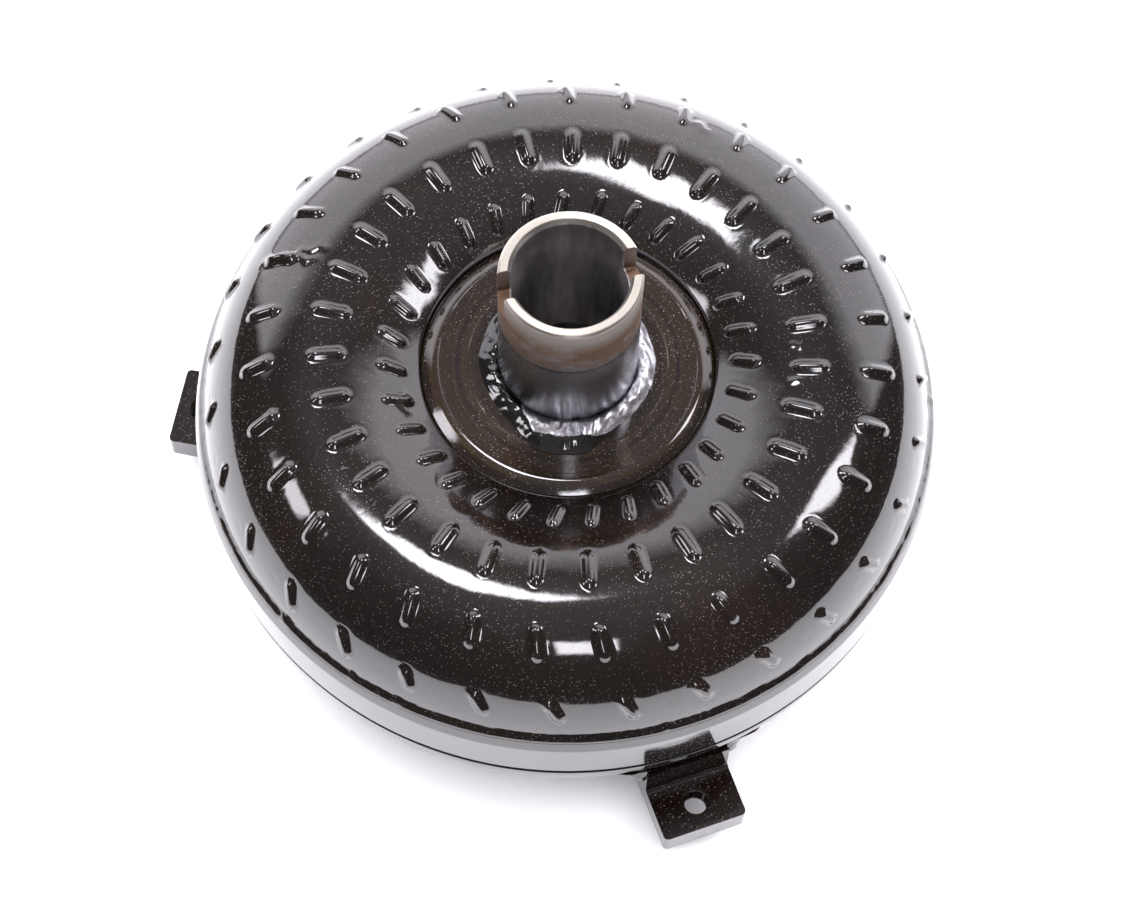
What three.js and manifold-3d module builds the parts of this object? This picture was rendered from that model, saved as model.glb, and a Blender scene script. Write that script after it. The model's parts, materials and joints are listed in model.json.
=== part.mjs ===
// Torque converter of a small three-speed automatic gearbox.
// Millimetres. +Z runs along the shaft axis, from the crank pilot (z = 0) up to the drive hub.
// Lug 1 points to -Y. The pump and the cover are one welded housing; the turbine and the stator turn in it.

import * as THREE from "three";
import { mergeVertices } from "three/addons/utils/BufferGeometryUtils.js";
import Module from "manifold-3d";

const wasm = await Module();
wasm.setup();

// ---------------------------------------------------------------- driving dimensions
const GAP = 0.3; // between pieces that touch
const DEG = Math.PI / 180;
const TURN = 2 * Math.PI;
const SMOOTH = 48; // facets round the housing
const MEDIUM = 40; // facets round the hubs and the turbine shell
const COARSE = 30; // facets round the small pieces inside

const WALL = 3; // pressed steel of the pump shell
const TORUS_R = 88; // centre of the fluid ring's section
const TORUS_Z = 72;
const PUMP_OUT = 40; // half widths of the pump shell's section, outwards and inwards of TORUS_R
const PUMP_IN = 58;
const PUMP_RISE = 43.8; // height of the pump shell's crown above TORUS_Z
const SKIRT_Z = 60; // lower edge of the pump shell, inside the cover's rim
const JOGGLE_R = 51.3; // where the pump shell steps down to carry the hub flange
const SHELL_BORE_R = 40;

const RIM_R = 130.3;
const RIM_TOP = 80;
const CLOSURE_WELD = 3; // height of the weld between the cover's rim and the pump shell
const COVER_WALL = 3.2;
const DISH_R = 58; // flat middle of the cover
const DISH_Z = 17;
const FACE_R = 105.4; // flat outer part of the cover's face
const FACE_Z = 21;
const CORNER = 14; // radius between the cover's face and its cone
const CONE_ANGLE = 33; // of the cover's cone from the shaft axis
const SHOULDER = 22; // radius between the cover's cone and the wall under its rim
const SHOULDER_R = 129.9; // outside the wall under the rim
const SHOULDER_Z = 53.6;
const RIM_FOOT = 57.4; // where the wall under the rim steps in

const PILOT_R = 21.63; // 1.703 in crank pilot
const SPIGOT_R = 18;
const PILOT_TOP = 16.7;
const PILOT_WELD = 4.2; // leg of the weld between the crank pilot and the cover

const HUB_R = 23.81; // 1.875 in pump drive hub
const HUB_BORE_R = 19.45;
const HUB_TOP = 167;
const HUB_FOOT = 99;
const SLOT_WIDTH = 10.3;
const SLOT_DEPTH = 12;
const SLOT_TURN = -7.2;
const FLANGE_R = 50.3;
const FLANGE_TOP = 107;
const FLANGE_FOOT = 99;
const HUB_WELD_R = 30.5;

const LUG_COUNT = 3;
const LUG_TURN = -90;
const LUG_WIDTH = 30.5;
const LUG_TOP = 22;
const LUG_FOOT = 12;
const LUG_INNER = 108;
const LUG_OUTER = 146.5;
const LUG_FACE = 127; // outer face of the lug's upright
const LUG_RISE = 36; // top of the lug's upright
const LUG_CORNER = 1.5;
const LUG_WELD = 6; // thickness of the welds beside each lug
const LUG_WELD_WIDTH = 11; // at the top, where they are widest
const LUG_WELD_MIDDLE = 6.6; // their width level with the top of the upright
const LUG_WELD_END = 2; // their width at the lower end
const LUG_WELD_LOW = 25;
const LUG_WELD_HIGH = 47; // their top, under the rim
const LUG_WELD_BACK = 0.5; // how far they stand back from the upright's outer face
const BOLT_R = 136.5; // 10.75 in bolt circle
const BOLT_HOLE_R = 4.3; // tapped 3/8-24
const BOLT_CHAMFER = 0.9;

const PUMP_BLADES = 31;
const PUMP_PHASE = 80.65;
const PUMP_SWEEP = 4.6; // degrees of sweep at SWEEP_SPAN from TORUS_R
const TURBINE_BLADES = 27;
const TURBINE_SWEEP = -16;
const SWEEP_SPAN = 34;
const BLADE = 1.2;
const CORE_R = 91; // core ring, round the middle of the fluid ring
const CORE_SIZE = 14;
const CORE_WALL = 2;
const BLADE_CLEAR = 1; // blade to shell, allowing for facets

const TURBINE_Z = 70.5;
const TURBINE_OUT = 36;
const TURBINE_IN = 50;
const TURBINE_DROP = 36.5;
const TURBINE_WALL = 2.2;
const TURBINE_SEAT = 44.8; // underside of the turbine shell's riveted flange
const TURBINE_BORE_R = 36;
const TURBINE_FLANGE = 4.7; // thickness of the turbine hub's flange
const TURBINE_BOSS_R = 20; // boss that centres the front thrust bearing
const TURBINE_NECK_R = 21.5;
const TURBINE_FOOT = { r: 33.5, low: 24.3, high: 29, neck: 32 }; // runs on the cover's thrust washer
const INPUT_SPLINE = { minor: 11.3, major: 12.5, teeth: 18 };
const RIVETS = 6;
const RIVET_CIRCLE_R = 44;
const RIVET_R = 2.3;
const RIVET_HEAD_R = 3.8;
const RIVET_HEAD = 1.6;

const COVER_WASHER = { inner: 20.5, outer: 33, low: 20.6, high: 24, grooves: 3 };
const FRONT_BEARING = { inner: 21, outer: 30 };
const REAR_BEARING = { inner: 27, outer: 38.5, low: 94.4 };

const STATOR_BLADES = 15;
const STATOR_HUB_R = 50;
const STATOR_RING_R = 72.5;
const STATOR_RING_WALL = 3;
const STATOR_LOW = 57;
const STATOR_HIGH = 90;
const STATOR_LIP_R = 38; // the lip that holds the clutch in, at the stator's lower end
const STATOR_LIP = 1.7;
const STATOR_RING_LOW = 61.5;
const STATOR_RING_HIGH = 85.5;
const STATOR_CAP = { inner: 27, outer: 46, high: 94.1 };
const SNAP_GROOVE = { depth: 1.6, low: 85.2, high: 87.4 };
const SNAP_RING = { inner: 38.5, outer: 41.9, low: 85.5, high: 87.1, gap: 16 };
const CAM_R = 40.7;
const CAM_LOW = 62;
const CAM_HIGH = 82;
const ROLLERS = 8;
const ROLLER_R = 3.2;
const ROLLER_CIRCLE_R = 29.6;
const SPRING_CIRCLE_R = 30;
const SPRING = { low: 67, high: 77, folds: 5, pitch: 1.15, half: 2, strip: 0.7 };
const RETAINER_LOW = 59;
const RETAINER_HIGH = 84.9;
const RACE_R = 26;
const RACE_TOP = 88;
const RACE_SPLINE = { minor: 17.5, major: 18.9, teeth: 22 };

// ---------------------------------------------------------------- solids
function solidOf(geometry) {
  const bare = geometry.clone();
  bare.deleteAttribute("normal");
  bare.deleteAttribute("uv");
  const merged = mergeVertices(bare, 1e-4);
  const corners = merged.index.array;
  const kept = [];
  for (let i = 0; i < corners.length; i += 3) {
    const [a, b, c] = [corners[i], corners[i + 1], corners[i + 2]];
    if (a !== b && b !== c && c !== a) {
      kept.push(a, b, c);
    }
  }
  const vertProperties = new Float32Array(merged.attributes.position.array);
  return new wasm.Manifold(new wasm.Mesh({ numProp: 3, vertProperties, triVerts: new Uint32Array(kept) }));
}

function geometryOf(solid) {
  const mesh = solid.getMesh();
  const geometry = new THREE.BufferGeometry();
  geometry.setAttribute("position", new THREE.BufferAttribute(mesh.vertProperties, 3));
  geometry.setIndex(new THREE.BufferAttribute(mesh.triVerts, 1));
  geometry.computeVertexNormals();
  return geometry;
}

// A solid of revolution about Z. The profile is a list of [radius, z], anticlockwise with r to the right.
function turned(profile, facets = MEDIUM) {
  const points = profile.map(([r, z]) => new THREE.Vector2(r, z));
  if (profile[0][0] > 0) {
    points.push(points[0].clone());
  }
  return new THREE.LatheGeometry(points, facets).rotateX(Math.PI / 2);
}

function ring(inner, outer, low, high, facets = MEDIUM) {
  return turned([[inner, low], [outer, low], [outer, high], [inner, high]], facets);
}

// Points of an elliptic arc in the r-z plane, angles in degrees.
function arc(r, z, wide, tall, from, to, steps) {
  const points = [];
  for (let i = 0; i <= steps; i++) {
    const angle = (from + ((to - from) * i) / steps) * DEG;
    points.push([r + wide * Math.cos(angle), z + tall * Math.sin(angle)]);
  }
  return points;
}

// A flat outline in x-y, pulled up to a height and lifted to low.
function extruded(outline, low, high) {
  const shape = new THREE.Shape(outline.map(([x, y]) => new THREE.Vector2(x, y)));
  const geometry = new THREE.ExtrudeGeometry(shape, { depth: high - low, bevelEnabled: false });
  return geometry.translate(0, 0, low);
}

function rod(radius, low, high, sides, x = 0, y = 0) {
  const geometry = new THREE.CylinderGeometry(radius, radius, high - low, sides).rotateX(Math.PI / 2);
  return geometry.translate(x, y, (low + high) / 2);
}

function polar(radius, degrees) {
  return [radius * Math.cos(degrees * DEG), radius * Math.sin(degrees * DEG)];
}

// Turns each point about Z by a number of degrees that depends on its radius.
function swept(geometry, degreesAt) {
  const place = geometry.attributes.position;
  const point = new THREE.Vector3();
  const axis = new THREE.Vector3(0, 0, 1);
  for (let i = 0; i < place.count; i++) {
    point.fromBufferAttribute(place, i);
    point.applyAxisAngle(axis, degreesAt(Math.hypot(point.x, point.y)) * DEG);
    place.setXYZ(i, point.x, point.y, point.z);
  }
  return geometry;
}

function unionOf(solids) {
  return solids.reduce((whole, solid) => whole.add(solid));
}

// A hole outline with straight-sided teeth, for a splined shaft.
function splineOutline({ minor, major, teeth }) {
  const outline = [];
  for (let i = 0; i < teeth; i++) {
    const pitch = 360 / teeth;
    outline.push(polar(minor, (i + 0.02) * pitch));
    outline.push(polar(major, (i + 0.3) * pitch));
    outline.push(polar(major, (i + 0.6) * pitch));
    outline.push(polar(minor, (i + 0.88) * pitch));
  }
  return outline;
}

// ---------------------------------------------------------------- scene
const converter = new THREE.Group();

function addPart(name, geometry, finish, parent = converter) {
  const part = new THREE.Mesh(geometry, new THREE.MeshStandardMaterial(finish));
  part.name = name;
  parent.add(part);
  return part;
}

const BLACK_PAINT = { color: 0x14110f, roughness: 0.12, metalness: 0 };
const WELD_STEEL = { color: 0x8f8c88, roughness: 0.45, metalness: 1 };
const TURNED_STEEL = { color: 0xb4aca0, roughness: 0.28, metalness: 1 };
const PRESSED_STEEL = { color: 0x7f7c78, roughness: 0.4, metalness: 1 };
const HARD_STEEL = { color: 0x9a9a9c, roughness: 0.2, metalness: 1 };
const CAST_ALUMINIUM = { color: 0xaeb0b2, roughness: 0.5, metalness: 1 };
const BRONZE = { color: 0x9c7a45, roughness: 0.4, metalness: 1 };

// ---------------------------------------------------------------- front cover and crank pilot
// Outer line of the cover, from its hole out to the top of the rim.
const coverCorner = arc(FACE_R, FACE_Z + CORNER, CORNER, CORNER, -90, -CONE_ANGLE, 3);
const shoulderMiddle = SHOULDER_R - SHOULDER;
const coverShoulder = arc(shoulderMiddle, SHOULDER_Z, SHOULDER, SHOULDER, -CONE_ANGLE, 0, 3);
const coverOutside = [
  [DISH_R, DISH_Z],
  [DISH_R + 8, FACE_Z],
  ...coverCorner,
  ...coverShoulder,
  [SHOULDER_R, RIM_FOOT - 0.6],
  [RIM_R, RIM_FOOT],
  [RIM_R, RIM_TOP - 4],
  [RIM_R - 0.5, RIM_TOP - 1.4],
  [RIM_R - 1.3, RIM_TOP],
];
const rimInner = TORUS_R + PUMP_OUT + GAP;
const ledgeR = rimInner - WALL - GAP; // inner edge of the ledge the pump shell stands on
const shoulderInside = ledgeR - shoulderMiddle;
const coverInside = [
  [rimInner, RIM_TOP],
  [rimInner, SKIRT_Z - GAP],
  [ledgeR, SKIRT_Z - GAP],
  ...arc(shoulderMiddle, SHOULDER_Z, shoulderInside, shoulderInside, 0, -CONE_ANGLE, 2),
  ...arc(FACE_R, FACE_Z + CORNER, CORNER - COVER_WALL, CORNER - COVER_WALL, -CONE_ANGLE, -90, 2),
  [DISH_R + 7, FACE_Z + COVER_WALL],
  [DISH_R - 1, DISH_Z + COVER_WALL],
];
const pilotHole = SPIGOT_R + GAP;
const coverProfile = [
  [pilotHole, DISH_Z],
  ...coverOutside,
  ...coverInside,
  [pilotHole, DISH_Z + COVER_WALL],
];
addPart("front_cover", turned(coverProfile, SMOOTH), BLACK_PAINT);

const pilotProfile = [
  [0, 0],
  [PILOT_R - 1.5, 0],
  [PILOT_R, 1.5],
  [PILOT_R, PILOT_TOP],
  [SPIGOT_R, PILOT_TOP],
  [SPIGOT_R, DISH_Z + COVER_WALL],
  [0, DISH_Z + COVER_WALL],
];
addPart("crank_pilot", turned(pilotProfile), TURNED_STEEL);

const pilotWeld = [
  [PILOT_R + GAP, PILOT_TOP - PILOT_WELD],
  [PILOT_R + 0.6 * PILOT_WELD, PILOT_TOP - 0.6 * PILOT_WELD],
  [PILOT_R + PILOT_WELD, PILOT_TOP],
  [PILOT_R + GAP, PILOT_TOP],
];
addPart("pilot_weld", turned(pilotWeld), WELD_STEEL);

// ---------------------------------------------------------------- mounting lugs and their welds
// The space the cover fills, a gap larger, for trimming the lugs and their welds.
const coverRoom = solidOf(
  turned([[0, 0], ...coverOutside.map(([r, z]) => [r + GAP, z - GAP]), [0, RIM_TOP]], SMOOTH),
);

// One lug, pointing along +X: a foot with a tapped hole, and an upright that beds on the cover's cone.
function lugSolid() {
  const half = LUG_WIDTH / 2;
  const cut = LUG_CORNER * 0.3;
  const footOutline = [
    [LUG_INNER, -half],
    [LUG_OUTER - LUG_CORNER, -half],
    [LUG_OUTER - cut, -half + cut],
    [LUG_OUTER, -half + LUG_CORNER],
    [LUG_OUTER, half - LUG_CORNER],
    [LUG_OUTER - cut, half - cut],
    [LUG_OUTER - LUG_CORNER, half],
    [LUG_INNER, half],
  ];
  const uprightOutline = [
    [LUG_INNER, -half],
    [LUG_FACE, -half],
    [LUG_FACE, half],
    [LUG_INNER, half],
  ];
  const upright = extruded(uprightOutline, LUG_FOOT + 1, LUG_RISE);
  const mouthR = BOLT_HOLE_R + BOLT_CHAMFER;
  const hole = turned([
    [0, LUG_FOOT - 1],
    [mouthR, LUG_FOOT - 1],
    [mouthR, LUG_FOOT],
    [BOLT_HOLE_R, LUG_FOOT + BOLT_CHAMFER],
    [BOLT_HOLE_R, LUG_TOP - BOLT_CHAMFER],
    [mouthR, LUG_TOP],
    [mouthR, LUG_TOP + 1],
    [0, LUG_TOP + 1],
  ], 20).translate(BOLT_R, 0, 0);
  const block = solidOf(extruded(footOutline, LUG_FOOT, LUG_TOP)).add(solidOf(upright));
  return block.subtract(solidOf(hole)).subtract(coverRoom);
}

// The skin of weld metal over the cover, for shaping the welds beside the lugs.
const weldRoom = solidOf(
  turned([[0, 0], ...coverOutside.map(([r, z]) => [r + LUG_WELD, z - LUG_WELD]), [0, RIM_TOP]], SMOOTH),
);

// A fillet weld between the cover and one side of a lug's upright, wider towards the rim.
function lugWeldSolid(side) {
  const edge = side * (LUG_WIDTH / 2 + GAP);
  const outline = [
    [edge, LUG_WELD_LOW],
    [edge + side * LUG_WELD_END, LUG_WELD_LOW],
    [edge + side * LUG_WELD_MIDDLE, LUG_RISE],
    [edge + side * LUG_WELD_WIDTH, LUG_WELD_HIGH],
    [edge, LUG_WELD_HIGH],
  ];
  const plate = extruded(outline, LUG_INNER, LUG_FACE - LUG_WELD_BACK);
  const across = new THREE.Vector3(0, 1, 0);
  const upwards = new THREE.Vector3(0, 0, 1);
  const outwards = new THREE.Vector3(1, 0, 0);
  plate.applyMatrix4(new THREE.Matrix4().makeBasis(across, upwards, outwards));
  return solidOf(plate).intersect(weldRoom).subtract(coverRoom);
}

for (let i = 0; i < LUG_COUNT; i++) {
  const station = new THREE.Group();
  station.rotation.z = (LUG_TURN + (360 / LUG_COUNT) * i) * DEG;
  converter.add(station);
  addPart(`mounting_lug_${i + 1}`, geometryOf(lugSolid()), BLACK_PAINT, station);
  addPart(`lug_weld_${i + 1}a`, geometryOf(lugWeldSolid(-1)), BLACK_PAINT, station);
  addPart(`lug_weld_${i + 1}b`, geometryOf(lugWeldSolid(1)), BLACK_PAINT, station);
}

// ---------------------------------------------------------------- pump shell and closure weld
// The angle at which an ellipse of this half width, centred on TORUS_R, reaches a radius inside it.
function innerAngle(radius, halfWidth) {
  return Math.acos((radius - TORUS_R) / halfWidth) / DEG;
}

const joggleInner = JOGGLE_R + WALL;
const joggleAngle = innerAngle(joggleInner, PUMP_IN - WALL);
const landLow = FLANGE_FOOT - GAP - WALL;
const pumpProfile = [
  [SHELL_BORE_R, landLow],
  [joggleInner, landLow],
  ...arc(TORUS_R, TORUS_Z, PUMP_IN - WALL, PUMP_RISE - WALL, joggleAngle, 90, 2),
  ...arc(TORUS_R, TORUS_Z, PUMP_OUT - WALL, PUMP_RISE - WALL, 90, 0, 5).slice(1),
  [TORUS_R + PUMP_OUT - WALL, SKIRT_Z],
  [TORUS_R + PUMP_OUT, SKIRT_Z],
  ...arc(TORUS_R, TORUS_Z, PUMP_OUT, PUMP_RISE, 0, 90, 7),
  ...arc(TORUS_R, TORUS_Z, PUMP_IN, PUMP_RISE, 90, innerAngle(JOGGLE_R, PUMP_IN), 3).slice(1),
  [JOGGLE_R, FLANGE_FOOT - GAP],
  [SHELL_BORE_R, FLANGE_FOOT - GAP],
];
addPart("pump_shell", turned(pumpProfile, SMOOTH), BLACK_PAINT);

const weldFoot = RIM_TOP + GAP;
const closureWeld = [
  [rimInner - 0.7, weldFoot],
  [RIM_R - 1.3, weldFoot],
  [RIM_R - 2, weldFoot + 0.55 * CLOSURE_WELD],
  [rimInner - 1.1, RIM_TOP + CLOSURE_WELD],
  [rimInner - 1.6, RIM_TOP + CLOSURE_WELD - 0.2],
];
addPart("closure_weld", turned(closureWeld, SMOOTH), BLACK_PAINT);

// ---------------------------------------------------------------- pump blades on their core ring
// Blades between a shell and a core ring. side is 1 above the fluid ring's middle plane, -1 below it.
// The core ring has one facet for each blade, with the blade in the middle of it.
function bladeSet({ count, side, z, out, inward, rise, edgeR, phase, sweep }) {
  const coreAngles = [4, 61, 118, 176];
  const coreArc = (radius, angles) => {
    return angles.map((angle) => {
      const [across, up] = polar(radius, angle);
      return [CORE_R + across, z + side * up];
    });
  };
  const bladeEdge = coreArc(CORE_SIZE - CORE_WALL / 2, [9, 61, 118, 140]).reverse();
  const outline = [
    ...arc(TORUS_R, z, out, side * rise, 3, 90, 3),
    ...arc(TORUS_R, z, inward, side * rise, 90, innerAngle(edgeR, inward), 2).slice(1),
    ...bladeEdge,
  ];
  const core = [...coreArc(CORE_SIZE, coreAngles), ...coreArc(CORE_SIZE - CORE_WALL, coreAngles).reverse()];
  if (side < 0) {
    outline.reverse();
    core.reverse();
  }
  const sweepAt = (radius) => sweep * ((radius - TORUS_R) / SWEEP_SPAN) ** 2;
  const blade = extruded(outline, -BLADE / 2, BLADE / 2).rotateX(Math.PI / 2);
  const one = solidOf(swept(blade, sweepAt));
  const pitch = 360 / count;
  const facetMiddle = phase + sweepAt(CORE_R + CORE_SIZE / 2) + 90 + pitch / 2;
  const pieces = [solidOf(turned(core, count)).rotate([0, 0, facetMiddle])];
  for (let i = 0; i < count; i++) {
    pieces.push(one.rotate([0, 0, phase - pitch * i]));
  }
  return geometryOf(unionOf(pieces));
}

const pumpBlades = bladeSet({
  count: PUMP_BLADES,
  side: 1,
  z: TORUS_Z,
  out: PUMP_OUT - WALL - BLADE_CLEAR,
  inward: PUMP_IN - WALL - BLADE_CLEAR,
  rise: PUMP_RISE - WALL - BLADE_CLEAR,
  edgeR: 61,
  phase: PUMP_PHASE,
  sweep: PUMP_SWEEP,
});
addPart("pump_blades_and_core", pumpBlades, PRESSED_STEEL);

// ---------------------------------------------------------------- hub flange, pump hub and hub weld
const flangeProfile = [
  [HUB_R + GAP, FLANGE_FOOT],
  [FLANGE_R, FLANGE_FOOT],
  [FLANGE_R, FLANGE_TOP - 2.2],
  [FLANGE_R - 0.8, FLANGE_TOP - 0.8],
  [FLANGE_R - 2.6, FLANGE_TOP],
  [HUB_R + GAP, FLANGE_TOP],
];
addPart("hub_flange", turned(flangeProfile), BLACK_PAINT);

const hubProfile = [
  [HUB_BORE_R, HUB_FOOT],
  [HUB_R, HUB_FOOT],
  [HUB_R, HUB_TOP - 0.8],
  [HUB_R - 0.8, HUB_TOP],
  [HUB_BORE_R + 1.1, HUB_TOP],
  [HUB_BORE_R, HUB_TOP - 1.8],
];
const slotCutter = new THREE.BoxGeometry(3 * HUB_R, SLOT_WIDTH, 2 * SLOT_DEPTH);
slotCutter.translate(0, 0, HUB_TOP).rotateZ(SLOT_TURN * DEG);
const hubSolid = solidOf(turned(hubProfile)).subtract(solidOf(slotCutter));
addPart("pump_hub", geometryOf(hubSolid), TURNED_STEEL);

const hubWeld = [
  [HUB_R + GAP, FLANGE_TOP + GAP],
  [HUB_WELD_R, FLANGE_TOP + GAP],
  [HUB_WELD_R - 1, FLANGE_TOP + 1.2],
  [HUB_R + 2.2, FLANGE_TOP + 2],
  [HUB_R + GAP, FLANGE_TOP + 1.7],
];
addPart("hub_weld", turned(hubWeld), WELD_STEEL);

// ---------------------------------------------------------------- turbine
const rivetAngles = Array.from({ length: RIVETS }, (_, i) => (360 / RIVETS) * i);

function withRivetHoles(geometry, low, high) {
  const holes = rivetAngles.map((angle) => {
    return solidOf(rod(RIVET_R + GAP, low, high, 8, ...polar(RIVET_CIRCLE_R, angle)));
  });
  return geometryOf(solidOf(geometry).subtract(unionOf(holes)));
}

const seatTop = TURBINE_SEAT + TURBINE_WALL;
const seatDrop = TURBINE_Z - TURBINE_SEAT;
const turbineTall = TURBINE_DROP - TURBINE_WALL;
const outerSeatAngle = -180 + Math.asin(seatDrop / TURBINE_DROP) / DEG;
const innerSeatAngle = -180 + Math.asin((TURBINE_Z - seatTop) / turbineTall) / DEG;
const turbineProfile = [
  [TURBINE_BORE_R, TURBINE_SEAT],
  ...arc(TORUS_R, TURBINE_Z, TURBINE_IN, TURBINE_DROP, outerSeatAngle, -90, 2),
  ...arc(TORUS_R, TURBINE_Z, TURBINE_OUT, TURBINE_DROP, -90, 0, 5).slice(1),
  ...arc(TORUS_R, TURBINE_Z, TURBINE_OUT - TURBINE_WALL, turbineTall, 0, -90, 4),
  ...arc(TORUS_R, TURBINE_Z, TURBINE_IN - TURBINE_WALL, turbineTall, -90, innerSeatAngle, 2).slice(1),
  [TURBINE_BORE_R, seatTop],
];
const turbineShell = turned(turbineProfile);
addPart("turbine_shell", withRivetHoles(turbineShell, TURBINE_SEAT - 1, seatTop + 1), PRESSED_STEEL);

const turbineBlades = bladeSet({
  count: TURBINE_BLADES,
  side: -1,
  z: TURBINE_Z,
  out: TURBINE_OUT - TURBINE_WALL - BLADE_CLEAR,
  inward: TURBINE_IN - TURBINE_WALL - BLADE_CLEAR,
  rise: TURBINE_DROP - TURBINE_WALL - BLADE_CLEAR,
  edgeR: 63,
  phase: 0,
  sweep: TURBINE_SWEEP,
});
addPart("turbine_blades_and_core", turbineBlades, PRESSED_STEEL);

const hubSeat = seatTop + GAP;
const hubSeatTop = hubSeat + TURBINE_FLANGE;
const bossTop = hubSeatTop + 2;
const turbineHubProfile = [
  [0, TURBINE_FOOT.low],
  [TURBINE_FOOT.r, TURBINE_FOOT.low],
  [TURBINE_FOOT.r, TURBINE_FOOT.high],
  [TURBINE_NECK_R, TURBINE_FOOT.neck],
  [TURBINE_NECK_R, hubSeat],
  [STATOR_HUB_R - 0.5, hubSeat],
  [STATOR_HUB_R - 0.5, hubSeatTop],
  [TURBINE_BOSS_R, hubSeatTop],
  [TURBINE_BOSS_R, bossTop],
  [0, bossTop],
];
const inputSpline = solidOf(extruded(splineOutline(INPUT_SPLINE), TURBINE_FOOT.low - 4, bossTop + 4));
const turbineHub = solidOf(turned(turbineHubProfile)).subtract(inputSpline);
addPart("turbine_hub", withRivetHoles(geometryOf(turbineHub), hubSeat - 1, hubSeatTop + 1), HARD_STEEL);

const rivetProfile = [
  [0, TURBINE_SEAT - RIVET_HEAD],
  [RIVET_HEAD_R, TURBINE_SEAT - RIVET_HEAD],
  [RIVET_HEAD_R, TURBINE_SEAT - GAP],
  [RIVET_R, TURBINE_SEAT - GAP],
  [RIVET_R, hubSeatTop + GAP],
  [RIVET_HEAD_R, hubSeatTop + GAP],
  [RIVET_HEAD_R, hubSeatTop + RIVET_HEAD],
  [0, hubSeatTop + RIVET_HEAD],
];
rivetAngles.forEach((angle, i) => {
  const rivet = addPart(`turbine_rivet_${i + 1}`, turned(rivetProfile, 8), HARD_STEEL);
  rivet.position.set(...polar(RIVET_CIRCLE_R, angle), 0);
});

// ---------------------------------------------------------------- thrust bearings and washers
// A ring with a few radial oil grooves across its upper face.
function groovedRing({ inner, outer, low, high, grooves }) {
  let body = solidOf(ring(inner, outer, low, high, COARSE));
  for (let i = 0; i < grooves; i++) {
    const groove = new THREE.BoxGeometry(outer, 3, 1.6).translate(outer, 0, high);
    body = body.subtract(solidOf(groove.rotateZ((TURN * i) / grooves)));
  }
  return geometryOf(body);
}

addPart("cover_thrust_washer", groovedRing(COVER_WASHER), BRONZE);

function bearing({ inner, outer }, low, high) {
  return ring(inner, outer, low, high, COARSE);
}

addPart("front_thrust_bearing", bearing(FRONT_BEARING, hubSeatTop + GAP, STATOR_LOW - GAP), HARD_STEEL);
addPart("rear_thrust_bearing", bearing(REAR_BEARING, REAR_BEARING.low, FLANGE_FOOT - GAP), HARD_STEEL);

// ---------------------------------------------------------------- stator
// One stator blade, a curved aerofoil that runs outwards from the hub to the ring.
function statorBlade() {
  const outline = [
    [-5, -10.5],
    [0.5, -4],
    [6, 10.5],
    [4.6, 10.5],
    [-2.5, 2],
    [-6, -9.5],
  ];
  const blade = extruded(outline, STATOR_HUB_R - 1.5, STATOR_RING_R + 1);
  blade.rotateX(Math.PI / 2).rotateZ(Math.PI / 2);
  return solidOf(blade.translate(0, 0, (STATOR_RING_LOW + STATOR_RING_HIGH) / 2));
}

const camSeatR = CAM_R + GAP;
const snapGrooveR = CAM_R + SNAP_GROOVE.depth;
const statorHubProfile = [
  [STATOR_LIP_R, STATOR_LOW],
  [STATOR_HUB_R, STATOR_LOW],
  [STATOR_HUB_R, STATOR_HIGH],
  [camSeatR, STATOR_HIGH],
  [camSeatR, SNAP_GROOVE.high],
  [snapGrooveR, SNAP_GROOVE.high],
  [snapGrooveR, SNAP_GROOVE.low],
  [camSeatR, SNAP_GROOVE.low],
  [camSeatR, STATOR_LOW + STATOR_LIP],
  [STATOR_LIP_R, STATOR_LOW + STATOR_LIP],
];
const ringOuter = STATOR_RING_R + STATOR_RING_WALL;
const statorPieces = [
  solidOf(turned(statorHubProfile, COARSE)),
  solidOf(ring(STATOR_RING_R, ringOuter, STATOR_RING_LOW, STATOR_RING_HIGH, COARSE)),
];
for (let i = 0; i < STATOR_BLADES; i++) {
  statorPieces.push(statorBlade().rotate([0, 0, (360 / STATOR_BLADES) * i]));
}
addPart("stator_wheel", geometryOf(unionOf(statorPieces)), CAST_ALUMINIUM);

// The one-way clutch: a cam with ramped pockets, each with a roller and a spring that pushes it.
const POCKET_WALL = [[33.2, -9], [33.9, 5], [33.4, 21]]; // radius, and degrees from the roller

function pocketOutline(start) {
  const wall = POCKET_WALL.map(([radius, turn]) => polar(radius, start + turn));
  const [first, last] = [POCKET_WALL[0][1], POCKET_WALL[2][1]];
  return [polar(RACE_R, start + first), ...wall, polar(RACE_R, start + last)];
}

const rollerAngles = Array.from({ length: ROLLERS }, (_, i) => (360 / ROLLERS) * i);
const pockets = rollerAngles.map((angle) => {
  return solidOf(extruded(pocketOutline(angle), CAM_LOW - 1, CAM_HIGH + 1));
});
const camBlank = solidOf(ring(RACE_R + 1.2, CAM_R, CAM_LOW, CAM_HIGH, COARSE));
addPart("stator_clutch_cam", geometryOf(camBlank.subtract(unionOf(pockets))), HARD_STEEL);

// A folded strip spring, drawn as a zigzag that runs round the pocket from the roller to its far wall.
function foldedSpring() {
  const there = [];
  const back = [];
  for (let i = 0; i <= SPRING.folds; i++) {
    const x = i * SPRING.pitch;
    const y = i % 2 === 0 ? -SPRING.half : SPRING.half;
    there.push([x, y - SPRING.strip]);
    back.unshift([x, y + SPRING.strip]);
  }
  return extruded([...there, ...back], SPRING.low, SPRING.high).rotateZ(Math.PI / 2);
}

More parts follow.
